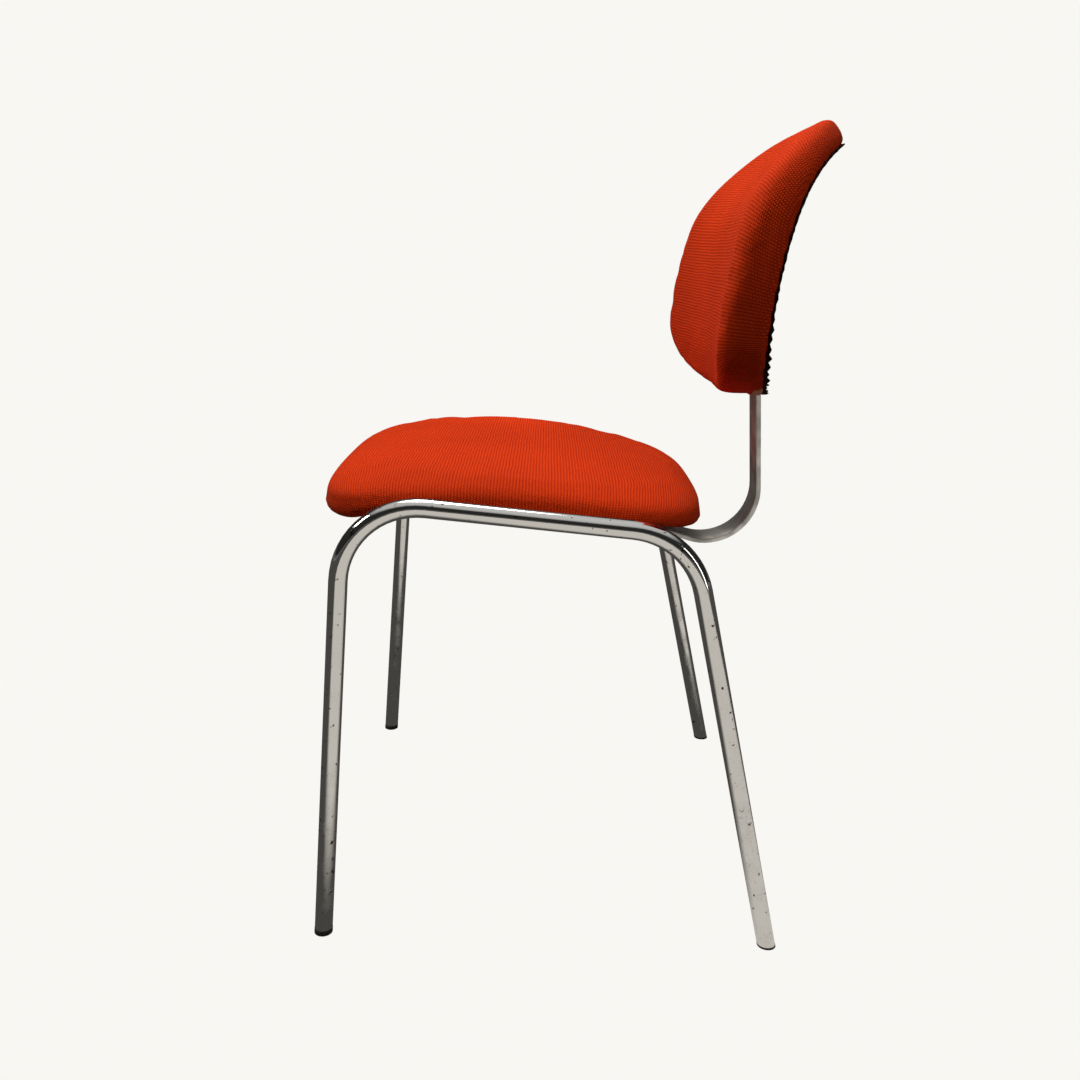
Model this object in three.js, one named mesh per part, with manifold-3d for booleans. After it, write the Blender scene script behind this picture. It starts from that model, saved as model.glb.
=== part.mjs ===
// Stacking side chair: two bent tube side frames, an upholstered seat and a sprung upholstered backrest.
// Millimetres, +Z up, the chair faces -Y, and the origin is the middle of its footprint box on the floor.
import * as THREE from 'three';
import { mergeVertices } from 'three/addons/utils/BufferGeometryUtils.js';
import Module from 'manifold-3d';

const wasm = await Module();
wasm.setup();

// Driving dimensions
const GAP = 0.3;
const BAR_CLEAR = 0.9;
const TUBE = { radius: 9, wall: 1.5, bend: 75 };
const FOOT = { halfWidth: 235, halfLength: 224.3, glideRadius: 9.2, plugLength: 22 };
const RAIL = { halfWidth: 231, front: -197.6, frontHeight: 448.8, rear: 121.8, rearHeight: 424.9 };
const GLIDE_HEIGHTS = { front: 5.5, rear: 2.2 };
const CROSSBAR = { width: 30, thickness: 5, drop: 8, endDrop: 3.5, front: -90, rear: 48 };
const BAR = { width: 40, thickness: 5, bend: 57.5, tabStart: -122, tabEnd: -55, kneeRadius: 30 };
const BAR_KNEE = { y: 229.1, z: 343.8 };
const UPRIGHT = { y: 214.1, z: 523, lean: 4.8, straightTop: 575, top: 684 };
const PLATE = 3;
const COVER = 2;
const SHELL = 9;
const NUT_FLANGE = 1.4;

// The seat: plan outline, then heights of its rim line and of its underside along the chair
const SEAT = { halfWidth: 217, middle: -40, front: 192, rear: 190, frontPower: 4, rearPower: 3, crown: 26 };
const SEAT_RIM = [[-232, 433], [-150, 440], [-84, 441.5], [0, 436], [60, 430], [113, 424.5], [150, 418]];
const SEAT_UNDER = [[-232, 414], [-198, 418], [-160, 430], [-128, 435], [-105, 434.1], [-60, 430.8], [30, 424.1],
  [90, 419.6], [122, 412], [150, 405]];
const SEAT_SCREW_X = 120;

// The backrest: outline across and along its curved centre line, which is listed from its foot up
const BACK = { halfWidth: 210, widest: 72, above: 225, topPower: 2.2, footPower: 2.8, wrap: 26, half: 18 };
const BACK_REAR = 15.8;
const BACK_LINE = [[191, 528], [190, 575], [191.5, 615], [197, 660], [206, 704], [220, 742], [241, 772], [274, 801]];
const BACK_SCREW_HEIGHTS = [603, 655];

const railSlope = (RAIL.frontHeight - RAIL.rearHeight) / (RAIL.rear - RAIL.front);
const railAngle = Math.atan(railSlope);
const CROSSBARS = [['front', CROSSBAR.front], ['rear', CROSSBAR.rear]];
const SIDES = [['left', 1], ['right', -1]];

const FINISH = {
  chrome: { color: 0xc9c9c6, roughness: 0.14, metalness: 1 },
  steel: { color: 0xa7a59f, roughness: 0.34, metalness: 1 },
  zinc: { color: 0xb4b2a8, roughness: 0.42, metalness: 1 },
  rubber: { color: 0x1f1d1c, roughness: 0.85, metalness: 0 },
  plywood: { color: 0xb98a58, roughness: 0.7, metalness: 0 },
  foam: { color: 0xe0cf9a, roughness: 0.95, metalness: 0 },
  wool: { color: 0xcb3f1a, roughness: 0.92, metalness: 0 },
};

const chair = new THREE.Group();

function addPiece(name, geometry, finish) {
  const mesh = new THREE.Mesh(geometry, new THREE.MeshStandardMaterial(FINISH[finish]));
  mesh.name = name;
  chair.add(mesh);
}

// Solids: closed meshes to and from the boolean library
function toSolid(geometry) {
  const bare = geometry.clone();
  bare.deleteAttribute('normal');
  bare.deleteAttribute('uv');
  const merged = mergeVertices(bare, 1e-4);
  return new wasm.Manifold(new wasm.Mesh({
    numProp: 3,
    vertProperties: new Float32Array(merged.attributes.position.array),
    triVerts: new Uint32Array(merged.index.array),
  }));
}

function toGeometry(solid) {
  const mesh = solid.getMesh();
  const geometry = new THREE.BufferGeometry();
  geometry.setAttribute('position', new THREE.BufferAttribute(new Float32Array(mesh.vertProperties), 3));
  geometry.setIndex(new THREE.BufferAttribute(new Uint32Array(mesh.triVerts), 1));
  geometry.computeVertexNormals();
  return geometry;
}

const joined = (...parts) => toGeometry(parts.map(toSolid).reduce((whole, part) => whole.add(part)));

function cut(geometry, tools) {
  return toGeometry(tools.map(toSolid).reduce((whole, tool) => whole.subtract(tool), toSolid(geometry)));
}

function slab(low, high) {
  const reach = 900;
  return new THREE.BoxGeometry(reach, reach, high - low).translate(0, 0, (low + high) / 2);
}

// A cylinder whose axis runs from one point to another
function rod(from, to, radius, sides = 20) {
  const along = to.clone().sub(from);
  const turn = new THREE.Quaternion().setFromUnitVectors(new THREE.Vector3(0, 1, 0), along.clone().normalize());
  const middle = from.clone().add(to).multiplyScalar(0.5);
  return new THREE.CylinderGeometry(radius, radius, along.length(), sides)
    .applyQuaternion(turn)
    .translate(middle.x, middle.y, middle.z);
}

function ring(from, to, outer, inner) {
  const along = to.clone().sub(from).normalize();
  const tool = rod(from.clone().sub(along), to.clone().add(along), inner);
  return cut(rod(from, to, outer), [tool]);
}

const offsetAlong = (point, direction, distance) => point.clone().addScaledVector(direction, distance);

// A hexagon-headed bolt whose head starts at a point, with its shank along a direction
function bolt(point, direction, headRadius, headHeight, shankRadius, shankLength) {
  const head = rod(offsetAlong(point, direction, -headHeight), point, headRadius, 6);
  const shank = rod(offsetAlong(point, direction, -headHeight / 2), offsetAlong(point, direction, shankLength),
    shankRadius, 16);
  return joined(head, shank);
}

// A smooth height through a few [place, height] stations
function heightAt(stations, place) {
  const last = stations.length - 1;
  const next = Math.min(Math.max(stations.findIndex((station) => station[0] > place), 1), last);
  const i = place >= stations[last][0] ? last - 1 : next - 1;
  const slope = (a, b) => (stations[b][1] - stations[a][1]) / (stations[b][0] - stations[a][0]);
  const startSlope = i > 0 ? slope(i - 1, i + 1) : slope(0, 1);
  const endSlope = i + 2 <= last ? slope(i, i + 2) : slope(last - 1, last);
  const span = stations[i + 1][0] - stations[i][0];
  const t = Math.min(Math.max((place - stations[i][0]) / span, 0), 1);
  const start = stations[i][1] * (2 * t ** 3 - 3 * t ** 2 + 1) + startSlope * span * (t ** 3 - 2 * t ** 2 + t);
  const end = stations[i + 1][1] * (3 * t ** 2 - 2 * t ** 3) + endSlope * span * (t ** 3 - t ** 2);
  return start + end;
}

// A closed body through rings of points around a centre, with a single point at each end
function loft(stations, place, sides = 36) {
  const rings = stations.slice(1, -1);
  const vertices = [...place(stations[0], 0)];
  for (const station of rings) {
    for (let k = 0; k < sides; k += 1) {
      vertices.push(...place(station, (2 * Math.PI * k) / sides));
    }
  }
  vertices.push(...place(stations[stations.length - 1], 0));
  const vertexOf = (row, k) => 1 + row * sides + (k % sides);
  const endVertex = 1 + rings.length * sides;
  const faces = [];
  for (let k = 0; k < sides; k += 1) {
    faces.push(0, vertexOf(0, k + 1), vertexOf(0, k));
    faces.push(endVertex, vertexOf(rings.length - 1, k), vertexOf(rings.length - 1, k + 1));
    for (let row = 0; row + 1 < rings.length; row += 1) {
      const [a, b, c, d] = [vertexOf(row, k), vertexOf(row, k + 1), vertexOf(row + 1, k), vertexOf(row + 1, k + 1)];
      if (rings[row + 1].share > rings[row].share) {
        faces.push(a, b, d, a, d, c);
      } else {
        faces.push(a, b, c, c, b, d);
      }
    }
  }
  const geometry = new THREE.BufferGeometry();
  geometry.setAttribute('position', new THREE.BufferAttribute(new Float32Array(vertices), 3));
  geometry.setIndex(faces);
  geometry.computeVertexNormals();
  return geometry;
}

// How far out a rounded outline reaches at an angle
function reach(angle, across, along, power) {
  const c = Math.abs(Math.cos(angle)) / across;
  const s = Math.abs(Math.sin(angle)) / along;
  return (c ** power + s ** power) ** (-1 / power);
}

// 1 inside a start radius, falling to 0 at the rim; a larger power gives a squarer edge
function edgeFall(radius, start, power, root) {
  const t = Math.min(Math.max((radius - start) / (1 - start), 0), 1);
  return (1 - t ** power) ** (1 / root);
}

// Side frames: straight lines and bends sampled as one path
class SampledPath extends THREE.Curve {
  constructor(samples) {
    super();
    this.samples = samples;
  }

  at(u) {
    return this.samples[Math.round(u * (this.samples.length - 1))];
  }

  getPointAt(u) {
    return this.at(u).point.clone();
  }

  getTangentAt(u) {
    return this.at(u).tangent.clone();
  }
}

function bendSamples(before, corner, after, radius, steps) {
  const incoming = corner.clone().sub(before).normalize();
  const outgoing = after.clone().sub(corner).normalize();
  const turn = incoming.angleTo(outgoing);
  const axis = incoming.clone().cross(outgoing).normalize();
  const start = offsetAlong(corner, incoming, -radius * Math.tan(turn / 2));
  const inward = axis.clone().cross(incoming);
  const centre = offsetAlong(start, inward, radius);
  const samples = [];
  for (let i = 0; i <= steps; i += 1) {
    const angle = (turn * i) / steps;
    const spoke = inward.clone().negate().applyAxisAngle(axis, angle);
    samples.push({ point: offsetAlong(centre, spoke, radius), tangent: incoming.clone().applyAxisAngle(axis, angle) });
  }
  return samples;
}

function straightSamples(from, to, steps) {
  const tangent = to.clone().sub(from).normalize();
  return Array.from({ length: steps + 1 }, (_, i) => ({ point: from.clone().lerp(to, i / steps), tangent }));
}

const frontCorner = (side) => new THREE.Vector3(side * RAIL.halfWidth, RAIL.front, RAIL.frontHeight);
const rearCorner = (side) => new THREE.Vector3(side * RAIL.halfWidth, RAIL.rear, RAIL.rearHeight);

function foot(side, end) {
  return new THREE.Vector3(side * FOOT.halfWidth, end * FOOT.halfLength, 0);
}

function legDirection(side, end) {
  const corner = end < 0 ? frontCorner(side) : rearCorner(side);
  return corner.sub(foot(side, end)).normalize();
}

function sideFrame(side) {
  const below = -20;
  const frontEnd = offsetAlong(foot(side, -1), legDirection(side, -1), below);
  const rearEnd = offsetAlong(foot(side, 1), legDirection(side, 1), below);
  const frontBend = bendSamples(frontEnd, frontCorner(side), rearCorner(side), TUBE.bend, 15);
  const rearBend = bendSamples(frontCorner(side), rearCorner(side), rearEnd, TUBE.bend, 13);
  const samples = [
    ...straightSamples(frontEnd, frontBend[0].point, 5).slice(0, -1),
    ...frontBend,
    ...straightSamples(frontBend[frontBend.length - 1].point, rearBend[0].point, 4).slice(1, -1),
    ...rearBend,
    ...straightSamples(rearBend[rearBend.length - 1].point, rearEnd, 5).slice(1),
  ];
  const section = new THREE.Shape().absarc(0, 0, TUBE.radius, 0, 2 * Math.PI);
  section.holes.push(new THREE.Path().absarc(0, 0, TUBE.radius - TUBE.wall, 0, 2 * Math.PI));
  const tube = new THREE.ExtrudeGeometry(section, {
    steps: samples.length - 1,
    curveSegments: 10,
    extrudePath: new SampledPath(samples),
  });
  const cutLength = 80;
  const frontCut = slab(-cutLength, GLIDE_HEIGHTS.front + GAP).translate(0, -500, 0);
  const rearCut = slab(-cutLength, GLIDE_HEIGHTS.rear + GAP).translate(0, 500, 0);
  return cut(tube, [frontCut, rearCut]);
}

// A glide: a foot the size of the tube, cut flat, with a plug that goes up inside it
function glide(side, end) {
  const height = end < 0 ? GLIDE_HEIGHTS.front : GLIDE_HEIGHTS.rear;
  const base = foot(side, end);
  const axis = legDirection(side, end);
  const flange = rod(offsetAlong(base, axis, -20), offsetAlong(base, axis, 20), FOOT.glideRadius, 24);
  const plug = rod(base, offsetAlong(base, axis, height + FOOT.plugLength), TUBE.radius - TUBE.wall - GAP, 20);
  const flat = toSolid(flange).intersect(toSolid(slab(0, height)));
  return toGeometry(flat.add(toSolid(plug).intersect(toSolid(slab(0, 100)))));
}

// Crossbars and what is screwed to them are laid out in a frame that follows the rails' slope
function railPoint(x, y, above) {
  const level = RAIL.frontHeight - railSlope * (y - RAIL.front);
  return new THREE.Vector3(x, y + above * Math.sin(railAngle), level + above * Math.cos(railAngle));
}

const railNormal = new THREE.Vector3(0, Math.sin(railAngle), Math.cos(railAngle));

function crossbarSection() {
  const flatHalf = 200;
  const endHalf = RAIL.halfWidth;
  const top = -CROSSBAR.drop;
  const endTop = -CROSSBAR.endDrop;
  const outline = [[-endHalf, endTop], [-flatHalf, top], [flatHalf, top], [endHalf, endTop]];
  const under = outline.map(([x, z]) => [x, z - CROSSBAR.thickness]).reverse();
  return new THREE.Shape([...outline, ...under].map(([x, z]) => new THREE.Vector2(x, z)));
}

function crossbar(place, holes) {
  const bar = new THREE.ExtrudeGeometry(crossbarSection(), { depth: CROSSBAR.width, bevelEnabled: false })
    .translate(0, 0, -CROSSBAR.width / 2)
    .rotateX(Math.PI / 2 - railAngle);
  const seatOn = railPoint(0, place, 0);
  bar.translate(seatOn.x, seatOn.y, seatOn.z);
  const half = CROSSBAR.width;
  const saddles = SIDES.map(([, side]) => rod(
    railPoint(side * RAIL.halfWidth, place - half, 0),
    railPoint(side * RAIL.halfWidth, place + half, 0),
    TUBE.radius + GAP,
    28,
  ));
  return cut(bar, [...saddles, ...holes]);
}

function railHole(x, y, radius) {
  return rod(railPoint(x, y, -40), railPoint(x, y, 40), radius, 16);
}

// The spring bar: a side outline with a constant thickness, pushed out to its width
function barLine() {
  const tabDepth = -(CROSSBAR.drop + CROSSBAR.thickness + GAP + BAR.thickness / 2);
  const tabStart = railPoint(0, BAR.tabStart, tabDepth);
  const tabEnd = railPoint(0, BAR.tabEnd, tabDepth);
  const knee = new THREE.Vector3(0, BAR_KNEE.y, BAR_KNEE.z);
  const rise = UPRIGHT.straightTop - UPRIGHT.z;
  const uprightTop = new THREE.Vector3(0, UPRIGHT.y - rise * Math.tan(UPRIGHT.lean * Math.PI / 180),
    UPRIGHT.straightTop);
  const line = [
    tabStart,
    ...bendSamples(tabStart, tabEnd, knee, BAR.kneeRadius, 4).map((sample) => sample.point),
    ...bendSamples(tabEnd, knee, uprightTop, BAR.bend, 18).map((sample) => sample.point),
    uprightTop,
  ];
  const behind = -(BACK_SHELL_REAR + BAR_CLEAR + BAR.thickness / 2);
  for (let height = 600; height <= UPRIGHT.top; height += 14) {
    line.push(backPoint(0, lineLengthAt(height), behind));
  }
  return line;
}

function strip(line, thickness, width) {
  const sideOf = (sign) => line.map((point, i) => {
    const before = line[Math.max(i - 1, 0)];
    const after = line[Math.min(i + 1, line.length - 1)];
    const tangent = after.clone().sub(before).normalize();
    const shift = (sign * thickness) / 2;
    return new THREE.Vector2(point.y - tangent.z * shift, point.z + tangent.y * shift);
  });
  const outline = [...sideOf(1), ...sideOf(-1).reverse()];
  return new THREE.ExtrudeGeometry(new THREE.Shape(outline), { depth: width, bevelEnabled: false })
    .applyMatrix4(new THREE.Matrix4().set(0, 0, 1, -width / 2, 1, 0, 0, 0, 0, 1, 0, 0, 0, 0, 0, 1));
}

// Where the bar's lower leaf lies, and its upward normal
function leafPoint(y, above) {
  const tabDepth = -(CROSSBAR.drop + CROSSBAR.thickness + GAP + BAR.thickness / 2);
  const start = railPoint(0, BAR.tabEnd, tabDepth);
  const slope = (start.z - BAR_KNEE.z) / (BAR_KNEE.y - start.y);
  const angle = Math.atan(slope);
  const level = BAR_KNEE.z + (BAR_KNEE.y - y) * slope;
  return new THREE.Vector3(0, y + above * Math.sin(angle), level + above * Math.cos(angle));
}

// The riser: a folded plate that holds the leaf below the rear crossbar
function riser(holes) {
  const front = 30;
  const rear = 62;
  const under = -(CROSSBAR.drop + CROSSBAR.thickness + GAP);
  const onLeaf = BAR.thickness / 2 + GAP;
  const outline = [
    railPoint(0, rear, under),
    railPoint(0, front, under),
    leafPoint(front, onLeaf),
    leafPoint(rear, onLeaf),
    leafPoint(rear, onLeaf + PLATE),
    leafPoint(front + PLATE, onLeaf + PLATE),
    railPoint(0, front + PLATE, under - PLATE),
    railPoint(0, rear, under - PLATE),
  ];
  const width = BAR.width - 4;
  const shape = new THREE.Shape(outline.map((point) => new THREE.Vector2(point.y, point.z)));
  const plate = new THREE.ExtrudeGeometry(shape, { depth: width, bevelEnabled: false })
    .applyMatrix4(new THREE.Matrix4().set(0, 0, 1, -width / 2, 1, 0, 0, 0, 0, 1, 0, 0, 0, 0, 0, 1));
  return cut(plate, holes);
}

// The seat: a point at a share of the outline, on the top or the underside, moved inwards by an inset
function seatPlace({ share, face, inset = 0 }, angle) {
  const toFront = Math.sin(angle) < 0;
  const along = toFront ? SEAT.front : SEAT.rear;
  const power = toFront ? SEAT.frontPower : SEAT.rearPower;
  const distance = share * reach(angle, SEAT.halfWidth, along, power);
  const x = distance * Math.cos(angle);
  const y = SEAT.middle + distance * Math.sin(angle);
  const rim = heightAt(SEAT_RIM, y);
  if (face === 'top') {
    return [x, y, rim + SEAT.crown * edgeFall(share, 0.4, 2.4, 1.8) - inset];
  }
  return [x, y, rim - (rim - heightAt(SEAT_UNDER, y)) * edgeFall(share, 0.82, 2, 2) + inset];
}

// The backrest's centre line by its length from the foot
const backCurve = new THREE.CatmullRomCurve3(BACK_LINE.map(([y, z]) => new THREE.Vector3(0, y, z)));
const backLength = backCurve.getLength();
const BACK_SHELL_REAR = BACK_REAR - COVER - 2 * GAP;

function lineLengthAt(height) {
  let low = 0;
  let high = 1;
  for (let i = 0; i < 30; i += 1) {
    const middle = (low + high) / 2;
    if (backCurve.getPointAt(middle).z < height) {
      low = middle;
    } else {
      high = middle;
    }
  }
  return low * backLength;
}

// A point of the backrest: across, along the centre line, and forward of it
function backPoint(x, along, forward) {
  const u = Math.min(Math.max(along / backLength, 0), 1);
  const point = backCurve.getPointAt(u);
  const tangent = backCurve.getTangentAt(u);
  const normal = new THREE.Vector3(0, -tangent.z, tangent.y);
  const wrap = BACK.wrap * (x / BACK.halfWidth) ** 2;
  return offsetAlong(point, normal, forward + wrap).setX(x);
}

function backPlace({ share, face, inset = 0 }, angle) {
  const upwards = Math.sin(angle) >= 0;
  const along = upwards ? BACK.above : BACK.widest;
  const power = upwards ? BACK.topPower : BACK.footPower;
  const distance = share * reach(angle, BACK.halfWidth, along, power);
  const x = distance * Math.cos(angle);
  const v = BACK.widest + distance * Math.sin(angle);
  const forward = face === 'top'
    ? BACK.half * edgeFall(share, 0.84, 2.6, 2.6) - inset
    : inset - BACK_REAR * edgeFall(share, 0.9, 3, 3);
  return backPoint(x, v, forward).toArray();
}

// Padded layers share one set of stations, from the hollow side out
const shares = (list, face, inset) => list.map((share) => ({ share, face, inset }));

const crownShares = [0, 0.2, 0.4, 0.56, 0.7, 0.8, 0.87, 0.93, 0.965];

function coverStations() {
  const inside = [...crownShares, 0.985];
  const hem = [0.985, 0.955, 0.92, 0.87, 0.82];
  const hemOutside = [0.82, 0.87, 0.92, 0.955, 0.98];
  const outside = [1, 0.99, ...[...crownShares].reverse()];
  return [
    ...shares(inside, 'top', COVER),
    ...shares(hem, 'under', COVER),
    ...shares(hemOutside, 'under', 0),
    ...shares(outside, 'top', 0),
  ];
}

const shellShares = [0, 0.2, 0.4, 0.58, 0.72, 0.82, 0.87, 0.92];

function shellStations() {
  const under = COVER + 2 * GAP;
  return [...shares(shellShares, 'under', under), ...shares([...shellShares].reverse(), 'under', under + SHELL)];
}

function foamStations(shell) {
  const aboveShell = COVER + shell + NUT_FLANGE + 8 * GAP;
  return [
    ...shares([...shellShares, 0.935], 'under', aboveShell),
    ...shares([0.95, 0.96], 'under', COVER + 4 * GAP),
    ...shares([...crownShares].reverse(), 'top', COVER + 2 * GAP),
  ];
}

// Fasteners of the seat: a screw from below, a washer pad and a flanged nut in the shell
const seatScrews = CROSSBARS.flatMap(([end, y]) => SIDES.map(([side, sign]) => ({
  name: `${end}_${side}`,
  x: sign * SEAT_SCREW_X,
  y,
})));

const SEAT_SCREW = { radius: 3, hole: 3.4, nutRadius: 4.6, nutBore: 3.3, nutHole: 4.9, headRadius: 6.5 };

function shellUnder(x, y) {
  const above = -7.7 + COVER + 2 * GAP;
  return railPoint(x, y, above);
}

function addSeatFasteners() {
  const under = -(CROSSBAR.drop + CROSSBAR.thickness);
  for (const { name, x, y } of seatScrews) {
    const head = railPoint(x, y, under - GAP);
    const flangeBase = offsetAlong(shellUnder(x, y), railNormal, SHELL + 2 * GAP);
    const flangeTop = offsetAlong(flangeBase, railNormal, NUT_FLANGE);
    const barrelFoot = offsetAlong(flangeBase, railNormal, -(SHELL - 1));
    const screwLength = CROSSBAR.thickness + CROSSBAR.drop + 3;
    addPiece(`seat_screw_${name}`, bolt(head, railNormal, SEAT_SCREW.headRadius, 3.6, SEAT_SCREW.radius,
      screwLength), 'zinc');
    const nut = joined(rod(flangeBase, flangeTop, 9.5), rod(barrelFoot, flangeTop, SEAT_SCREW.nutRadius));
    addPiece(`seat_nut_${name}`, cut(nut, [railHole(x, y, SEAT_SCREW.nutBore)]), 'zinc');
    addPiece(`seat_washer_${name}`, ring(railPoint(x, y, -CROSSBAR.drop + GAP), railPoint(x, y, -CROSSBAR.drop + 1.9),
      11, SEAT_SCREW.hole), 'rubber');
  }
}

// Fasteners of the spring bar: two bolts at each crossbar and two screws into the back shell
const BAR_BOLT = { x: 11, radius: 4, hole: 4.4, head: 7.2, headHeight: 5 };
const RISER_BOLT_Y = 50;
const leafNormal = leafPoint(0, 1).sub(leafPoint(0, 0));

function barHoles() {
  const holes = [];
  for (const [, sign] of SIDES) {
    holes.push(railHole(sign * BAR_BOLT.x, CROSSBAR.front, BAR_BOLT.hole));
    holes.push(riserHole(sign * BAR_BOLT.x));
  }
  for (const height of BACK_SCREW_HEIGHTS) {
    holes.push(backHole(height, SEAT_SCREW.hole));
  }
  return holes;
}

function riserHole(x) {
  const through = leafPoint(RISER_BOLT_Y, 0).setX(x);
  return rod(offsetAlong(through, leafNormal, -15), offsetAlong(through, leafNormal, 15), BAR_BOLT.hole, 16);
}

function backHole(height, radius) {
  const along = lineLengthAt(height);
  return rod(backPoint(0, along, -40), backPoint(0, along, 5), radius, 16);
}

function addBarFasteners() {
  const tabUnder = -(CROSSBAR.drop + CROSSBAR.thickness + 2 * GAP + BAR.thickness);
  for (const [side, sign] of SIDES) {
    const x = sign * BAR_BOLT.x;
    addPiece(`bar_bolt_front_${side}`, bolt(railPoint(x, CROSSBAR.front, tabUnder), railNormal, BAR_BOLT.head,
      BAR_BOLT.headHeight, BAR_BOLT.radius, BAR.thickness + CROSSBAR.thickness), 'zinc');
    const head = leafPoint(RISER_BOLT_Y, -BAR.thickness / 2 - GAP).setX(x);
    addPiece(`bar_bolt_rear_${side}`, bolt(head, leafNormal, BAR_BOLT.head, BAR_BOLT.headHeight,
      BAR_BOLT.radius, BAR.thickness + PLATE + 8), 'zinc');
    const nutBase = leafPoint(RISER_BOLT_Y, BAR.thickness / 2 + PLATE + 2 * GAP).setX(x);
    const nut = rod(nutBase, offsetAlong(nutBase, leafNormal, 6), BAR_BOLT.head, 6);
    addPiece(`bar_nut_rear_${side}`, cut(nut, [riserHole(x)]), 'zinc');
  }
}

function addBackFasteners() {
  const names = ['lower', 'upper'];
  BACK_SCREW_HEIGHTS.forEach((height, i) => {
    const along = lineLengthAt(height);
    const behind = -(BACK_SHELL_REAR + 2 * BAR_CLEAR + BAR.thickness);
    const head = backPoint(0, along, behind);
    const forward = backPoint(0, along, 1).sub(backPoint(0, along, 0));
    addPiece(`back_screw_${names[i]}`, bolt(head, forward, SEAT_SCREW.headRadius, 3.6, SEAT_SCREW.radius,
      BAR.thickness + SHELL - 1), 'zinc');
    const flangeBase = backPoint(0, along, SHELL - BACK_SHELL_REAR + 3 * GAP);
    const flangeTop = offsetAlong(flangeBase, forward, NUT_FLANGE);
    const barrelFoot = offsetAlong(flangeBase, forward, -(SHELL - 1));
    const nut = joined(rod(flangeBase, flangeTop, 9.5), rod(barrelFoot, flangeTop, SEAT_SCREW.nutRadius));
    addPiece(`back_nut_${names[i]}`, cut(nut, [backHole(height, SEAT_SCREW.nutBore)]), 'zinc');
  });
}

function addFrame() {
  for (const [side, sign] of SIDES) {
    addPiece(`side_frame_${side}`, sideFrame(sign), 'chrome');
    addPiece(`glide_front_${side}`, glide(sign, -1), 'rubber');
    addPiece(`glide_rear_${side}`, glide(sign, 1), 'rubber');
  }
  for (const [end, y] of CROSSBARS) {
    const holes = SIDES.map(([, sign]) => railHole(sign * SEAT_SCREW_X, y, SEAT_SCREW.hole));
    const boltHoles = SIDES.map(([, sign]) => railHole(sign * BAR_BOLT.x, y, BAR_BOLT.hole));
    addPiece(`crossbar_${end}`, crossbar(y, end === 'front' ? [...holes, ...boltHoles] : holes), 'steel');
  }
  addPiece('bar_riser', riser(SIDES.map(([, sign]) => riserHole(sign * BAR_BOLT.x))), 'steel');
  addPiece('back_bar', cut(strip(barLine(), BAR.thickness, BAR.width), barHoles()), 'steel');
}

function addSeat() {
  const nutHoles = seatScrews.map(({ x, y }) => railHole(x, y, SEAT_SCREW.nutHole));
  addPiece('seat_shell', cut(loft(shellStations(), seatPlace), nutHoles), 'plywood');
  addPiece('seat_foam', loft(foamStations(SHELL), seatPlace), 'foam');
  addPiece('seat_cover', loft(coverStations(), seatPlace), 'wool');
}

function addBack() {
  const nutHoles = BACK_SCREW_HEIGHTS.map((height) => backHole(height, SEAT_SCREW.nutHole));
  addPiece('back_shell', cut(loft(shellStations(), backPlace), nutHoles), 'plywood');
  addPiece('back_foam', loft(foamStations(SHELL), backPlace), 'foam');
  addPiece('back_cover', loft(coverStations(), backPlace), 'wool');
}

function centreOnFloor(group) {
  const box = new THREE.Box3().setFromObject(group);
  const centre = box.getCenter(new THREE.Vector3());
  group.position.set(-centre.x, -centre.y, -box.min.z);
  group.updateMatrixWorld(true);
}

addFrame();
addSeat();
addBack();
addSeatFasteners();
addBarFasteners();
addBackFasteners();
centreOnFloor(chair);

export default chair;
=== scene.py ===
import math

import bpy
import numpy as np
from mathutils import Matrix, Vector


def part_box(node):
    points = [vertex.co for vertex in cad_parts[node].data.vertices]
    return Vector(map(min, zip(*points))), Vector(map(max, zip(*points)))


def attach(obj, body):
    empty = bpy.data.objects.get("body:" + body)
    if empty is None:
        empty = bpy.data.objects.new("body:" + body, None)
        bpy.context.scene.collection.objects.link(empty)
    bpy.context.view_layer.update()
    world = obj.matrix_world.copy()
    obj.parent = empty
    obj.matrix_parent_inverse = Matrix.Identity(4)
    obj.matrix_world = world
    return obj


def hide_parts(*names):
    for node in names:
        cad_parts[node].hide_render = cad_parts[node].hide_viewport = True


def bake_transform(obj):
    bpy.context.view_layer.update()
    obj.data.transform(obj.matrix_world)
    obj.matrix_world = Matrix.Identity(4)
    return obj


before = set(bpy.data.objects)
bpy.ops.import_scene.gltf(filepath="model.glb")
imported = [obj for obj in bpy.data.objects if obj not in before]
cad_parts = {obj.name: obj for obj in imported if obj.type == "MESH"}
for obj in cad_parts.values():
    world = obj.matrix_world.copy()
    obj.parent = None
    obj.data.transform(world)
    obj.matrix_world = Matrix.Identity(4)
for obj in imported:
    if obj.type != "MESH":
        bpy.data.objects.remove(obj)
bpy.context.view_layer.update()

MM = 0.001
FRAME, BACK = "frame", "back"
SIDES = ("left", "right")

# Knit: distance between ribs and between stitches
RIB = 3.0 * MM
STITCH = 2.6 * MM

# Covers: how far each may swell over its foam, the thickness of the knit, and the size of its quads
SWELL = {"seat": 2.2 * MM, "back": 1.5 * MM}
KNIT_THICKNESS = 1.6 * MM
QUAD = 5 * MM
SMOOTHING_PASSES = 8

# Share of a pad's outline inside which its turned hem leaves the shell bare
HEM_SHARE = 0.82

# Height of the bead along both pads' creases, and its width as a share of the outline
BEAD = 1.5 * MM
BEAD_SHARE = 0.03

# Seat: (distance behind its front edge, height) of its rim and of its underside, in mm
SEAT_RIM = [(0, 433), (82, 440), (148, 441.5), (232, 436), (292, 430), (345, 424.5), (382, 418)]
SEAT_UNDER = [(0, 407), (34, 413), (72, 430), (104, 435), (127, 434), (322, 419.6), (354, 409), (382, 399)]
RIM_DEGREE = 4

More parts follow.
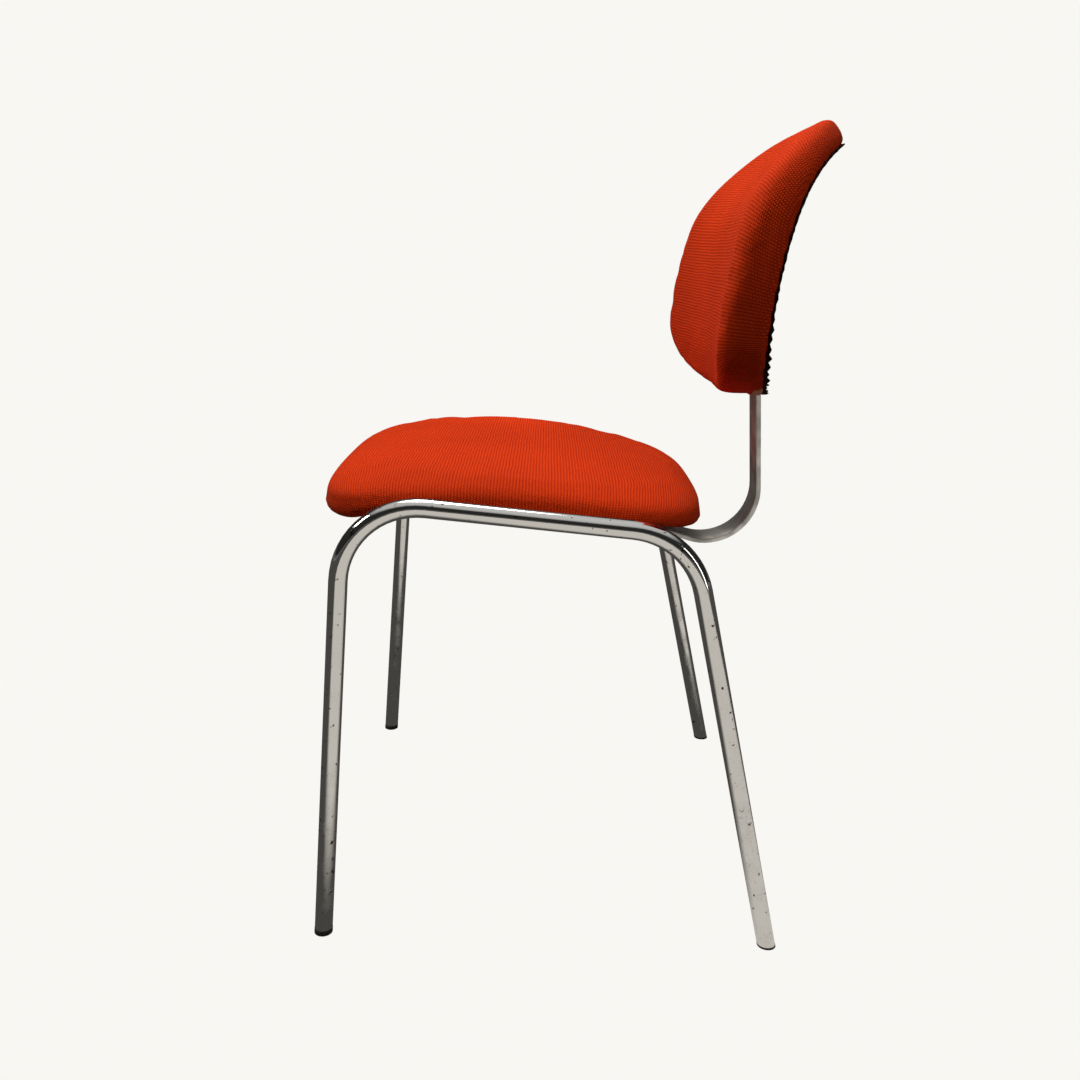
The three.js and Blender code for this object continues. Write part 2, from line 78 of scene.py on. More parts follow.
# Seat: height of its side wall, where the wall's crease lies, and the rise of its top inside that
SEAT_WALL = 24 * MM
SEAT_CREASE = 0.86
SEAT_CROWN = 3 * MM

# Seat: how far the cover stands past the hard pad in front (half as far behind)
SEAT_SPREAD = 8 * MM

# Seat: how square its outline is before and behind its middle, and across its top
SEAT_FRONT_POWER = 4.5
SEAT_REAR_POWER = 3.4
SEAT_TOP_POWER = 2.5

# Backrest: (height, distance back) of its side line from foot to top, in mm
BACK_LINE = [(528, 169.1), (575, 168.1), (615, 169.6), (660, 175.1), (704, 184.1), (742, 198.1),
             (772, 219.1), (801, 252.1)]
BACK_LINE_DEGREE = 5
BACK_LINE_STEPS = 200

# Backrest: height of its widest place above the foot, and how square its outline is
BACK_WIDEST = 72 * MM
BACK_FOOT_POWER = 2.5
BACK_TOP_POWER = 2.2

# Backrest: its face before the side line, at most and at the top, and where it thins between the two
BACK_WALL = 31 * MM
BACK_TOP_WALL = 20 * MM
BACK_THINS = (160 * MM, 250 * MM)
BACK_CREASE = 0.89
BACK_CROWN = 2 * MM

# Backrest: its rear behind the side line, where the rear begins to round off, and how squarely
BACK_REAR = 16 * MM
BACK_REAR_START = 0.93
BACK_REAR_POWER = 3

# The cover is drawn in this much at the backrest's top and foot
BACK_LOWERED = 7 * MM
BACK_RAISED = 5 * MM

# The backrest's side edges stand this far forward of its middle
BACK_WRAP = 26 * MM

# Felt edge round the rear of the backrest: its teeth, and how far it stands out in all and in its teeth
RUFFLE_TEETH = 150
RUFFLE_STEPS_PER_TOOTH = 6
RUFFLE_STAND = 3 * MM
RUFFLE_HEIGHT = 7 * MM
RUFFLE_WAVE = 1.5 * MM
RUFFLE_SHARE = 0.955
RUFFLE_DEPTH = 3.5 * MM
FELT_THICKNESS = 0.9 * MM

# Hard pieces: rounding of their edges by kind, and the angle up to which a surface is smooth
EDGE = {"glide": 0.6 * MM, "screw": 0.4 * MM, "bolt": 0.5 * MM, "crossbar": 0.8 * MM, "riser": 0.6 * MM,
        "spring_bar": 0.8 * MM}
SMOOTH_ANGLE = math.radians(40)
SHARP_ANGLE = math.radians(35)

# Camera: its place, its lens in mm, and how far it looks down and leans, in degrees
CAMERA_PLACE = (1.1393, -0.0392, 0.667)
LENS, SENSOR = 34.5, 36
PITCH, ROLL = 15.4, 1.76
PAGE = "#f8f7f3"

# Glow painted on the floor beside the chair, seen only in the chrome's reflections: its middle, and the radii
# between which it fades
PATCH_MIDDLE = (1.7, 0.9, 0)
PATCH_FADE = (1.62, 1.8)

# Patterns: repeats in a metre
WOOL_SWAY, WOOL_FUZZ, WOOL_WEAR = 28.0, 900.0, 6.0
CHROME_PITS, CHROME_PATCHES, CHROME_RUST = 700.0, 45.0, 160.0
STEEL_LINES, STEEL_BLOTCHES = (900, 25, 25), 60.0
RUBBER_GRAIN, FELT_FIBRE = 500.0, 1200.0
WOOD_GRAIN, WOOD_FLECKS = (6, 120, 120), (150, 1400, 1400)

# Heights between which the legs go from sound chrome to pitted
SOUND_ABOVE, PITTED_BELOW = 0.4, 0.12


# ---------------------------------------------------------------- objects
def deselect():
    if bpy.context.object and bpy.context.object.mode != "OBJECT":
        bpy.ops.object.mode_set(mode="OBJECT")
    bpy.ops.object.select_all(action="DESELECT")


def pick(piece):
    deselect()
    piece.select_set(True)
    bpy.context.view_layer.objects.active = piece


def settle(piece):
    """Puts the object's place, turn and scale into its mesh."""
    pick(piece)
    bpy.ops.object.transform_apply(location=True, rotation=True, scale=True)


def finish_modifiers(piece):
    pick(piece)
    for modifier in list(piece.modifiers):
        bpy.ops.object.modifier_apply(modifier=modifier.name)


def added(name):
    """The primitive that was just added, under its own name."""
    piece = bpy.context.object
    piece.name = name
    return piece


def copied(node, name):
    """A copy of a hard node with its loose triangles merged."""
    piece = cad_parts[node].copy()
    piece.data = piece.data.copy()
    for key in list(piece.keys()):
        del piece[key]
    piece.parent = None
    piece.name = name
    bpy.context.scene.collection.objects.link(piece)
    pick(piece)
    piece.data.materials.clear()
    bpy.ops.object.mode_set(mode="EDIT")
    bpy.ops.mesh.select_all(action="SELECT")
    bpy.ops.mesh.customdata_custom_splitnormals_clear()
    bpy.ops.mesh.remove_doubles(threshold=0.00002)
    bpy.ops.object.mode_set(mode="OBJECT")
    return piece


def smooth(piece):
    pick(piece)
    bpy.ops.object.shade_smooth_by_angle(angle=SMOOTH_ANGLE)


def softened(piece, width):
    """Rounds the sharp edges of a hard piece."""
    bevel = piece.modifiers.new("edges", "BEVEL")
    bevel.width = width
    bevel.segments = 2
    bevel.limit_method = "ANGLE"
    bevel.angle_limit = SHARP_ANGLE
    finish_modifiers(piece)
    smooth(piece)


def coordinates(piece):
    points = np.zeros(len(piece.data.vertices) * 3)
    piece.data.vertices.foreach_get("co", points)
    return points.reshape(-1, 3)


def set_coordinates(piece, points):
    piece.data.vertices.foreach_set("co", np.ascontiguousarray(points).ravel())
    piece.data.update()


def finished(piece, material, body):
    piece.data.materials.clear()
    piece.data.materials.append(material)
    settle(piece)
    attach(piece, body)


# ---------------------------------------------------------------- camera and light
def camera():
    """Looks square on to the chair's left side, a little downwards, from between seat and backrest height."""
    data = bpy.data.cameras.new("side_camera")
    data.lens = LENS
    data.sensor_width = SENSOR
    data.clip_start = 0.05
    pitch, roll = math.radians(PITCH), math.radians(ROLL)
    forward = Vector((-math.cos(pitch), 0, -math.sin(pitch)))
    level = Vector((0, 1, 0))
    upward = level.cross(forward)
    right = level * math.cos(roll) + upward * math.sin(roll)
    up = upward * math.cos(roll) - level * math.sin(roll)
    rows = [(right[i], up[i], -forward[i], CAMERA_PLACE[i]) for i in range(3)]
    side_camera = bpy.data.objects.new("side_camera", data)
    side_camera.matrix_world = Matrix([*rows, (0, 0, 0, 1)])
    bpy.context.scene.collection.objects.link(side_camera)
    bpy.context.scene.camera = side_camera


def area_light(name, place, target, size, power, tint=(1, 1, 1)):
    data = bpy.data.lights.new(name, "AREA")
    data.shape = "RECTANGLE"
    data.size, data.size_y = size
    data.energy = power
    data.color = tint
    light = bpy.data.objects.new(name, data)
    light.location = place
    light.rotation_euler = (Vector(target) - Vector(place)).to_track_quat("-Z", "Y").to_euler()
    bpy.context.scene.collection.objects.link(light)


def studio():
    """A pale page behind the chair, a dim room with a bright ceiling round it, and three soft lights."""
    world = bpy.data.worlds.new("studio")
    bpy.context.scene.world = world
    world.use_nodes = True
    nodes = world.node_tree.nodes
    nodes.clear()
    place = add(nodes, "ShaderNodeTexCoord")
    parts = add(nodes, "ShaderNodeSeparateXYZ", {"Vector": (place, "Generated")})
    height = add(nodes, "ShaderNodeMapRange", {"Value": (parts, "Z"), "From Min": -1.0, "From Max": 1.0})
    bands = ramp(nodes, (height, 0), [(0.0, grey(0.5)), (0.47, grey(0.35)), (0.53, grey(0.02)),
                                      (0.8, grey(0.03)), (0.88, grey(0.55)), (1.0, grey(0.7))])
    room = add(nodes, "ShaderNodeBackground", {"Color": (bands, 0), "Strength": 1.0})
    page = add(nodes, "ShaderNodeBackground", {"Color": colour(PAGE), "Strength": 1.0})
    path = add(nodes, "ShaderNodeLightPath")
    mix = add(nodes, "ShaderNodeMixShader", {"Fac": (path, "Is Camera Ray"), 1: (room, 0), 2: (page, 0)})
    add(nodes, "ShaderNodeOutputWorld", {"Surface": (mix, 0)})
    area_light("top", (-0.35, -0.35, 2.2), (0, 0, 0.4), (0.9, 0.7), 28, (1, 0.97, 0.93))
    area_light("face", (0.3, -1.9, 1.6), (0, 0, 0.6), (0.5, 0.5), 12)
    area_light("streak", (1.4, 2.0, 0.9), (0, 0, 0.4), (0.25, 1.4), 5)
    bpy.context.scene.view_settings.view_transform = "Standard"
    bpy.ops.mesh.primitive_plane_add(size=60, location=(0, 0, 0))
    floor = added("floor")
    floor.data.materials.append(pale_floor())
    settle(floor)


# ---------------------------------------------------------------- materials
def colour(code):
    """A linear colour from its sRGB hex value."""
    parts = [int(code[i:i + 2], 16) / 255 for i in (1, 3, 5)]
    return (*[p / 12.92 if p <= 0.04045 else ((p + 0.055) / 1.055) ** 2.4 for p in parts], 1)


def add(nodes, kind, inputs=None, **settings):
    """Adds one node; an input is a value, or a (node, output) pair to link from."""
    node = nodes.new(kind)
    for key, value in settings.items():
        setattr(node, key, value)
    for key, value in (inputs or {}).items():
        if isinstance(value, tuple) and isinstance(value[0], bpy.types.Node):
            nodes.id_data.links.new(value[0].outputs[value[1]], node.inputs[key])
        else:
            node.inputs[key].default_value = value
    return node


def blank(name):
    """A new material and its empty node list."""
    material = bpy.data.materials.new(name)
    material.use_nodes = True
    nodes = material.node_tree.nodes
    nodes.clear()
    return material, nodes


def close(material, nodes, shader):
    """Ends a material's nodes with its shader."""
    add(nodes, "ShaderNodeOutputMaterial", {"Surface": (shader, 0)})
    return material


def ramp(nodes, source, stops):
    """A colour ramp from a list of (position, colour)."""
    node = add(nodes, "ShaderNodeValToRGB", {"Fac": source})
    elements = node.color_ramp.elements
    elements[0].position, elements[0].color = stops[0]
    elements[1].position, elements[1].color = stops[-1]
    for position, value in stops[1:-1]:
        elements.new(position).color = value
    return node


def grey(value):
    return (value, value, value, 1)


def pale_floor():
    """Pale paper: even and unshaded to the eye, dim as a light, with a painted glow beside the chair that
    shows only as a reflection in the chrome.
    """
    material, nodes = blank("pale_paper_floor")
    path = add(nodes, "ShaderNodeLightPath")
    place = add(nodes, "ShaderNodeTexCoord")
    gap = add(nodes, "ShaderNodeVectorMath", {0: (place, "Object"), 1: PATCH_MIDDLE}, operation="DISTANCE")
    patch = add(nodes, "ShaderNodeMapRange", {"Value": (gap, "Value"), "From Min": PATCH_FADE[0],
                                              "From Max": PATCH_FADE[1], "To Min": 0.8, "To Max": 0.09})
    seen = add(nodes, "ShaderNodeEmission", {"Color": colour(PAGE), "Strength": 1.0})
    # Painted reflection: a glowing patch that only glossy rays see, so it shows only in the chrome.
    painted_reflection_glow = add(nodes, "ShaderNodeEmission", {"Color": colour("#f4efe8"), "Strength": (patch, 0)})
    dim = add(nodes, "ShaderNodeBsdfDiffuse", {"Color": grey(0.1)})
    unseen = add(nodes, "ShaderNodeMixShader", {"Fac": (path, "Is Glossy Ray"), 1: (dim, 0), 2: (painted_reflection_glow, 0)})
    shader = add(nodes, "ShaderNodeMixShader", {"Fac": (path, "Is Camera Ray"), 1: (unseen, 0), 2: (seen, 0)})
    return close(material, nodes, shader)


def ribbed_wool():
    """Knitted wool over foam: matt and fuzzy, with painted highlights on its ribs and stitches and painted
    shade between them.
    """
    material, nodes = blank("ribbed_orange_wool_knit")
    knit = add(nodes, "ShaderNodeUVMap", uv_map="knit")
    parts = add(nodes, "ShaderNodeSeparateXYZ", {"Vector": (knit, 0)})
    place = add(nodes, "ShaderNodeTexCoord")
    sway = add(nodes, "ShaderNodeTexNoise", {"Vector": (place, "Object"), "Scale": WOOL_SWAY, "Detail": 2.0})
    sway_shift = add(nodes, "ShaderNodeMath", {0: (sway, "Fac"), 1: 0.9}, operation="MULTIPLY")
    rows = add(nodes, "ShaderNodeMath", {0: (parts, "Y"), 1: MM / RIB}, operation="MULTIPLY")
    rows_swayed = add(nodes, "ShaderNodeMath", {0: (rows, 0), 1: (sway_shift, 0)}, operation="ADD")
    row_turn = add(nodes, "ShaderNodeMath", {0: (rows_swayed, 0), 1: 2 * math.pi}, operation="MULTIPLY")
    row_wave = add(nodes, "ShaderNodeMath", {0: (row_turn, 0)}, operation="COSINE")
    row_number = add(nodes, "ShaderNodeMath", {0: (rows_swayed, 0)}, operation="ROUND")
    row_half = add(nodes, "ShaderNodeMath", {0: (row_number, 0), 1: 0.5}, operation="MULTIPLY")
    columns = add(nodes, "ShaderNodeMath", {0: (parts, "X"), 1: MM / STITCH}, operation="MULTIPLY")
    columns_shifted = add(nodes, "ShaderNodeMath", {0: (columns, 0), 1: (row_half, 0)}, operation="ADD")
    column_turn = add(nodes, "ShaderNodeMath", {0: (columns_shifted, 0), 1: 2 * math.pi}, operation="MULTIPLY")
    column_wave = add(nodes, "ShaderNodeMath", {0: (column_turn, 0)}, operation="COSINE")
    stitches = add(nodes, "ShaderNodeMath", {0: (column_wave, 0), 1: 0.6}, operation="MULTIPLY")
    ribs = add(nodes, "ShaderNodeMath", {0: (row_wave, 0), 1: 0.55}, operation="MULTIPLY")
    relief = add(nodes, "ShaderNodeMath", {0: (ribs, 0), 1: (stitches, 0)}, operation="ADD")
    fuzz = add(nodes, "ShaderNodeTexNoise", {"Vector": (place, "Object"), "Scale": WOOL_FUZZ, "Detail": 4.0})
    fuzz_part = add(nodes, "ShaderNodeMath", {0: (fuzz, "Fac"), 1: 0.8}, operation="MULTIPLY")
    height = add(nodes, "ShaderNodeMath", {0: (relief, 0), 1: (fuzz_part, 0)}, operation="ADD")
    spread = add(nodes, "ShaderNodeMapRange", {"Value": (height, 0), "From Min": -1.0, "From Max": 1.9})
    # Yarn tones: the orange of the yarn, with painted shade in the hollows between ribs and stitches and
    # painted highlights on their crests.
    yarn_with_painted_rib_shade = ramp(nodes, (spread, 0), [(0.0, colour("#7a0e02")), (0.3, colour("#b32403")),
                                     (0.62, colour("#cf3809")), (1.0, colour("#de4a12"))])
    wear = add(nodes, "ShaderNodeTexNoise", {"Vector": (place, "Object"), "Scale": WOOL_WEAR, "Detail": 3.0})
    wear_tone = ramp(nodes, (wear, "Fac"), [(0.35, grey(0.88)), (0.7, grey(1.08))])
    toned = add(nodes, "ShaderNodeMix", {"Factor": 1.0, 6: (yarn_with_painted_rib_shade, 0), 7: (wear_tone, 0)},
                data_type="RGBA", blend_type="MULTIPLY")
    bump = add(nodes, "ShaderNodeBump", {"Height": (height, 0), "Strength": 0.4, "Distance": 0.0005})
    shader = add(nodes, "ShaderNodeBsdfPrincipled", {
        "Base Color": (toned, 2), "Roughness": 0.95, "Specular IOR Level": 0.07, "Sheen Weight": 0.03,
        "Sheen Roughness": 0.5, "Sheen Tint": colour("#ff9a6a"), "Normal": (bump, 0)})
    return close(material, nodes, shader)


def worn_chrome():
    """Chromed steel tube: a mirror with a few rust spots, dull and pitted with dark specks down the legs."""
    material, nodes = blank("worn_chromed_steel")
    place = add(nodes, "ShaderNodeTexCoord")
    parts = add(nodes, "ShaderNodeSeparateXYZ", {"Vector": (place, "Object")})
    low = add(nodes, "ShaderNodeMapRange", {"Value": (parts, "Z"), "From Min": SOUND_ABOVE,
                                            "From Max": PITTED_BELOW})
    pits = add(nodes, "ShaderNodeTexNoise", {"Vector": (place, "Object"), "Scale": CHROME_PITS, "Detail": 5.0,
                                             "Roughness": 0.7})
    patches = add(nodes, "ShaderNodeTexNoise", {"Vector": (place, "Object"), "Scale": CHROME_PATCHES,
                                                "Detail": 4.0})
    patch_fall = add(nodes, "ShaderNodeMapRange", {"Value": (patches, "Fac"), "From Min": 0.35,
                                                   "From Max": 0.65})
    dull = add(nodes, "ShaderNodeMath", {0: (low, 0), 1: (patch_fall, 0)}, operation="MULTIPLY")
    speck_edge = add(nodes, "ShaderNodeMapRange", {"Value": (pits, "Fac"), "From Min": 0.56, "From Max": 0.68})
    speck = add(nodes, "ShaderNodeMath", {0: (speck_edge, 0), 1: (dull, 0)}, operation="MULTIPLY")
    rust = add(nodes, "ShaderNodeTexNoise", {"Vector": (place, "Object"), "Scale": CHROME_RUST, "Detail": 3.0})
    rust_edge = add(nodes, "ShaderNodeMapRange", {"Value": (rust, "Fac"), "From Min": 0.66, "From Max": 0.72})
    metal = add(nodes, "ShaderNodeMix", {"Factor": (speck, 0), 6: colour("#d9d8d4"), 7: colour("#5d5953")},
                data_type="RGBA")
    stained = add(nodes, "ShaderNodeMix", {"Factor": (rust_edge, 0), 6: (metal, 2), 7: colour("#4a3527")},
                  data_type="RGBA")
    rough_low = add(nodes, "ShaderNodeMath", {0: (dull, 0), 1: 0.3}, operation="MULTIPLY")
    rough = add(nodes, "ShaderNodeMath", {0: (rough_low, 0), 1: 0.07}, operation="ADD")
    depth = add(nodes, "ShaderNodeMath", {0: (pits, "Fac"), 1: (dull, 0)}, operation="MULTIPLY")
    bump = add(nodes, "ShaderNodeBump", {"Height": (depth, 0), "Strength": 0.25, "Distance": 0.0003})
    shader = add(nodes, "ShaderNodeBsdfPrincipled", {
        "Base Color": (stained, 2), "Metallic": 1.0, "Roughness": (rough, 0), "Normal": (bump, 0)})
    return close(material, nodes, shader)


def satin_steel(name, tone, dark, roughness):
    """Rolled steel strip: grey, with fine lines fore and aft from the rolls, and faint stains."""
    material, nodes = blank(name)
    place = add(nodes, "ShaderNodeTexCoord")
    stretch = add(nodes, "ShaderNodeMapping", {"Vector": (place, "Object"), "Scale": STEEL_LINES})
    lines = add(nodes, "ShaderNodeTexNoise", {"Vector": (stretch, 0), "Scale": 1.0, "Detail": 3.0})
    blotch = add(nodes, "ShaderNodeTexNoise", {"Vector": (place, "Object"), "Scale": STEEL_BLOTCHES,
                                               "Detail": 4.0})
    both = add(nodes, "ShaderNodeMath", {0: (lines, "Fac"), 1: (blotch, "Fac")}, operation="MULTIPLY")
    tones = ramp(nodes, (both, 0), [(0.12, colour(dark)), (0.36, colour(tone))])
    rough = add(nodes, "ShaderNodeMapRange", {"Value": (both, 0), "From Min": 0.1, "From Max": 0.4,
                                              "To Min": roughness + 0.12, "To Max": roughness})
    bump = add(nodes, "ShaderNodeBump", {"Height": (lines, "Fac"), "Strength": 0.12, "Distance": 0.0002})
    shader = add(nodes, "ShaderNodeBsdfPrincipled", {
        "Base Color": (tones, 0), "Metallic": 1.0, "Roughness": (rough, 0), "Normal": (bump, 0)})
    return close(material, nodes, shader)


def moulded_rubber():
    """Black rubber glide: matt, scuffed grey in fine specks."""
    material, nodes = blank("moulded_black_rubber")
    place = add(nodes, "ShaderNodeTexCoord")
    grain = add(nodes, "ShaderNodeTexNoise", {"Vector": (place, "Object"), "Scale": RUBBER_GRAIN,
                                              "Detail": 4.0})
    tones = ramp(nodes, (grain, "Fac"), [(0.35, colour("#1c1a19")), (0.75, colour("#4b4743"))])
    bump = add(nodes, "ShaderNodeBump", {"Height": (grain, "Fac"), "Strength": 0.2, "Distance": 0.0003})
    shader = add(nodes, "ShaderNodeBsdfPrincipled", {
        "Base Color": (tones, 0), "Roughness": 0.8, "Normal": (bump, 0)})
    return close(material, nodes, shader)


def beech_plywood():
    """Moulded beech plywood: pale brown with long fine grain across the chair and short dark flecks."""
    material, nodes = blank("moulded_beech_plywood")
    place = add(nodes, "ShaderNodeTexCoord")
    stretch = add(nodes, "ShaderNodeMapping", {"Vector": (place, "Object"), "Scale": WOOD_GRAIN})
    grain = add(nodes, "ShaderNodeTexNoise", {"Vector": (stretch, 0), "Scale": 1.0, "Detail": 6.0,
                                              "Roughness": 0.65})
    tones = ramp(nodes, (grain, "Fac"), [(0.3, colour("#8f6338")), (0.55, colour("#b9895a")),
                                         (0.8, colour("#cfa577"))])
    flecks = add(nodes, "ShaderNodeMapping", {"Vector": (place, "Object"), "Scale": WOOD_FLECKS})
    fleck = add(nodes, "ShaderNodeTexNoise", {"Vector": (flecks, 0), "Scale": 1.0, "Detail": 2.0})
    fleck_edge = add(nodes, "ShaderNodeMapRange", {"Value": (fleck, "Fac"), "From Min": 0.66,
                                                   "From Max": 0.72})
    wood = add(nodes, "ShaderNodeMix", {"Factor": (fleck_edge, 0), 6: (tones, 0), 7: colour("#6b4524")},
               data_type="RGBA")
    bump = add(nodes, "ShaderNodeBump", {"Height": (grain, "Fac"), "Strength": 0.15, "Distance": 0.0004})
    shader = add(nodes, "ShaderNodeBsdfPrincipled", {
        "Base Color": (wood, 2), "Roughness": 0.62, "Normal": (bump, 0)})
    return close(material, nodes, shader)


def felt_painted_shadow_black():
    """Cut felt edging: matt and fibrous, painted near black for the shadow that lies on it."""
    material, nodes = blank("cut_felt_painted_shadow_black")
    place = add(nodes, "ShaderNodeTexCoord")
    fibre = add(nodes, "ShaderNodeTexNoise", {"Vector": (place, "Object"), "Scale": FELT_FIBRE, "Detail": 5.0})
    # Near-black tones: painted shadow on the hem.
    tones = ramp(nodes, (fibre, "Fac"), [(0.3, colour("#0d0807")), (0.75, colour("#3a2620"))])
    bump = add(nodes, "ShaderNodeBump", {"Height": (fibre, "Fac"), "Strength": 0.6, "Distance": 0.0006})
    shader = add(nodes, "ShaderNodeBsdfPrincipled", {
        "Base Color": (tones, 0), "Roughness": 0.97, "Specular IOR Level": 0.1, "Normal": (bump, 0)})
    return close(material, nodes, shader)


# ---------------------------------------------------------------- pads
class Pad:
    """One pad's outline, in metres: two half superellipses that meet where the pad is widest."""

    def __init__(self, half_width, middle, ahead, behind, ahead_power, behind_power, wrap):
        self.half_width = half_width
        self.middle = middle
        self.lengths = (ahead, behind)
        self.powers = (ahead_power, behind_power)
        self.wrap = wrap

    def half(self, along):
        """Length and power of the half of the outline that each point lies in."""
        first = np.asarray(along) < 0
        return np.where(first, *self.lengths), np.where(first, *self.powers)

    def reach(self, angle, top_power=None):
        """Distance from the middle of the outline to its edge."""
        length, power = self.half(np.sin(angle))
        power = top_power or power
        across = np.abs(np.cos(angle)) / self.half_width
        return (across ** power + (np.abs(np.sin(angle)) / length) ** power) ** (-1 / power)

    def share(self, across, along):
        """How far out each point is: 0 in the middle, 1 at the edge."""
        length, power = self.half(along - self.middle)
        part = np.abs(across) / self.half_width
        return (part ** power + (np.abs(along - self.middle) / length) ** power) ** (1 / power)


def edge_fall(share, start, power, root):
    """1 inside the start, then rounding off to 0 at the edge."""
    part = np.clip((share - start) / (1 - start), 0, 1)
    return (1 - part ** power) ** (1 / root)


def ridge(share, crease):
    """The low bead that the cover makes over the foam's cut edge."""
    return BEAD * np.exp(-((share - crease) / BEAD_SHARE) ** 2)


def smooth_line(points, degree):
    """A smooth line through a few listed points in mm, read in metres."""
    places, heights = np.array(points).T * MM
    return np.polynomial.Polynomial.fit(places, heights, degree)


def seat_shape():
    low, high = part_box("seat_cover")
    middle = (high[1] + low[1]) / 2
    ahead = middle - low[1] + SEAT_SPREAD
    behind = high[1] - middle + SEAT_SPREAD / 2
    return Pad(high[0], middle, ahead, behind, SEAT_FRONT_POWER, SEAT_REAR_POWER, 0)


def seat_place(angle, share, upper):
    """The seat: a raised top with a soft crease round it, and an underside that arches over the crossbars."""
    shape = seat_shape()
    rounding = np.where(upper, np.clip((1 - share) / (1 - SEAT_CREASE), 0, 1), 0)
    reach = (shape.reach(angle) * (1 - rounding) + shape.reach(angle, SEAT_TOP_POWER) * rounding) * share
    x = reach * np.cos(angle)
    y = shape.middle + reach * np.sin(angle)
    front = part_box("seat_cover")[0][1]
    rim = smooth_line(SEAT_RIM, RIM_DEGREE)(y - front)
    under = np.interp(y - front, *(np.array(SEAT_UNDER).T * MM))
    top = SEAT_WALL * edge_fall(share, SEAT_CREASE, 2, 2.8) + ridge(share, SEAT_CREASE)
    top = top + SEAT_CROWN * np.clip(1 - (share / SEAT_CREASE) ** 2, 0, 1)
    bottom = (under - rim) * edge_fall(share, HEM_SHARE, 2.6, 2.6)
    return np.stack([x, y, rim + np.where(upper, top, bottom)], axis=1)


def back_curve():
    """The backrest's side line: points from foot to top, their running length and their forward normals."""
    curve = smooth_line(BACK_LINE, BACK_LINE_DEGREE)
    z = np.linspace(BACK_LINE[0][0], BACK_LINE[-1][0], BACK_LINE_STEPS) * MM
    points = np.stack([curve(z), z], axis=1)
    steps = np.gradient(points, axis=0)
    steps /= np.linalg.norm(steps, axis=1)[:, None]
    lengths = np.concatenate([[0], np.cumsum(np.linalg.norm(np.diff(points, axis=0), axis=1))])
    return points, lengths, np.stack([-steps[:, 1], steps[:, 0]], axis=1)


def back_shape():
    length = back_curve()[1][-1]
    below = BACK_WIDEST - BACK_RAISED
    above = length - BACK_WIDEST - BACK_LOWERED
    half_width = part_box("back_cover")[1][0]
    return Pad(half_width, BACK_WIDEST, below, above, BACK_FOOT_POWER, BACK_TOP_POWER, BACK_WRAP)


def on_back(x, along, forward):
    """Points of the backrest from their place across, along and in front of its side line."""
    points, lengths, normals = back_curve()
    centre = [np.interp(along, lengths, points[:, i]) for i in (0, 1)]
    normal = [np.interp(along, lengths, normals[:, i]) for i in (0, 1)]
    out = forward + BACK_WRAP * (x / back_shape().half_width) ** 2
    return np.stack([x, centre[0] + out * normal[0], centre[1] + out * normal[1]], axis=1)


def back_wall(along):
    """How far the face stands in front of the side line: least at the top."""
    part = np.clip((along - BACK_THINS[0]) / (BACK_THINS[1] - BACK_THINS[0]), 0, 1)
    return BACK_WALL + (BACK_TOP_WALL - BACK_WALL) * part ** 2 * (3 - 2 * part)


def back_place(angle, share, front):
    """The backrest: a raised face with a soft crease round it, and a shallow rear."""
    shape = back_shape()
    reach = shape.reach(angle) * share
    along = shape.middle + reach * np.sin(angle)
    side = np.abs(np.cos(angle))
    crease = BACK_CREASE + np.where(np.sin(angle) < 0, -0.02, 0.02) * (1 - side)
    box = np.where(np.sin(angle) < 0, 2.3 + 0.8 * side, 3.1)
    face = back_wall(along) * edge_fall(share, crease, box, box) + ridge(share, crease) * side
    face = face + BACK_CROWN * np.clip(1 - (share / crease) ** 2, 0, 1)
    rear = -BACK_REAR * edge_fall(share, BACK_REAR_START, BACK_REAR_POWER, BACK_REAR_POWER)
    return on_back(reach * np.cos(angle), along, np.where(front, face, rear))


def padded_block(name, place):
    """A ball whose points are carried to their places on a pad, made even quads."""
    bpy.ops.mesh.primitive_uv_sphere_add(segments=160, ring_count=90, radius=1)
    block = added(name)
    ball = coordinates(block)
    share = np.clip(np.hypot(ball[:, 0], ball[:, 1]), 0, 1)
    set_coordinates(block, place(np.arctan2(ball[:, 1], ball[:, 0]), share, ball[:, 2] >= 0))
    pick(block)
    bpy.ops.object.mode_set(mode="EDIT")
    bpy.ops.mesh.select_all(action="SELECT")
    bpy.ops.mesh.normals_make_consistent(inside=False)
    bpy.ops.object.mode_set(mode="OBJECT")
    remesh = block.modifiers.new("even", "REMESH")
    remesh.mode = "VOXEL"
    remesh.voxel_size = QUAD
    finish_modifiers(block)
    return block


def back_along(points):
    """For each point, its length along the backrest's side line and its distance in front of it."""
    curve, lengths, normals = back_curve()
    along = np.zeros(len(points))
    forward = np.zeros(len(points))
    for part in np.array_split(np.arange(len(points)), max(1, len(points) // 4000)):
        gaps = points[part, None, 1:] - curve[None]
        nearest = np.argmin((gaps ** 2).sum(axis=2), axis=1)
        gap = gaps[np.arange(len(part)), nearest]
        along[part] = lengths[nearest]
        forward[part] = (gap * normals[nearest]).sum(axis=1)
        tangents = np.stack([normals[nearest, 1], -normals[nearest, 0]], axis=1)
        along[part] += (gap * tangents).sum(axis=1)
    return along, forward


def knit_map(piece, shape, along, forward, face):
    """Lays the knit on a pad in millimetres: across and along its face, then on round its edges."""
    across = coordinates(piece)[:, 0]
    drop = np.maximum(face - (forward - shape.wrap * (across / shape.half_width) ** 2), 0)
    length, power = shape.half(along - shape.middle)
    away = along - shape.middle
    slope_across = np.sign(across) * np.abs(across / shape.half_width) ** (power - 1) / shape.half_width
    slope_along = np.sign(away) * np.abs(away / length) ** (power - 1) / length
    outward = np.stack([slope_across, slope_along], axis=1)
    outward = outward / np.maximum(np.linalg.norm(outward, axis=1), 1e-6)[:, None]
    flat = np.stack([across, along], axis=1) + outward * drop[:, None]
    layer = piece.data.uv_layers.new(name="knit")
    corners = np.zeros(len(piece.data.loops), int)
    piece.data.loops.foreach_get("vertex_index", corners)
    layer.data.foreach_set("uv", (flat[corners] / MM).ravel())


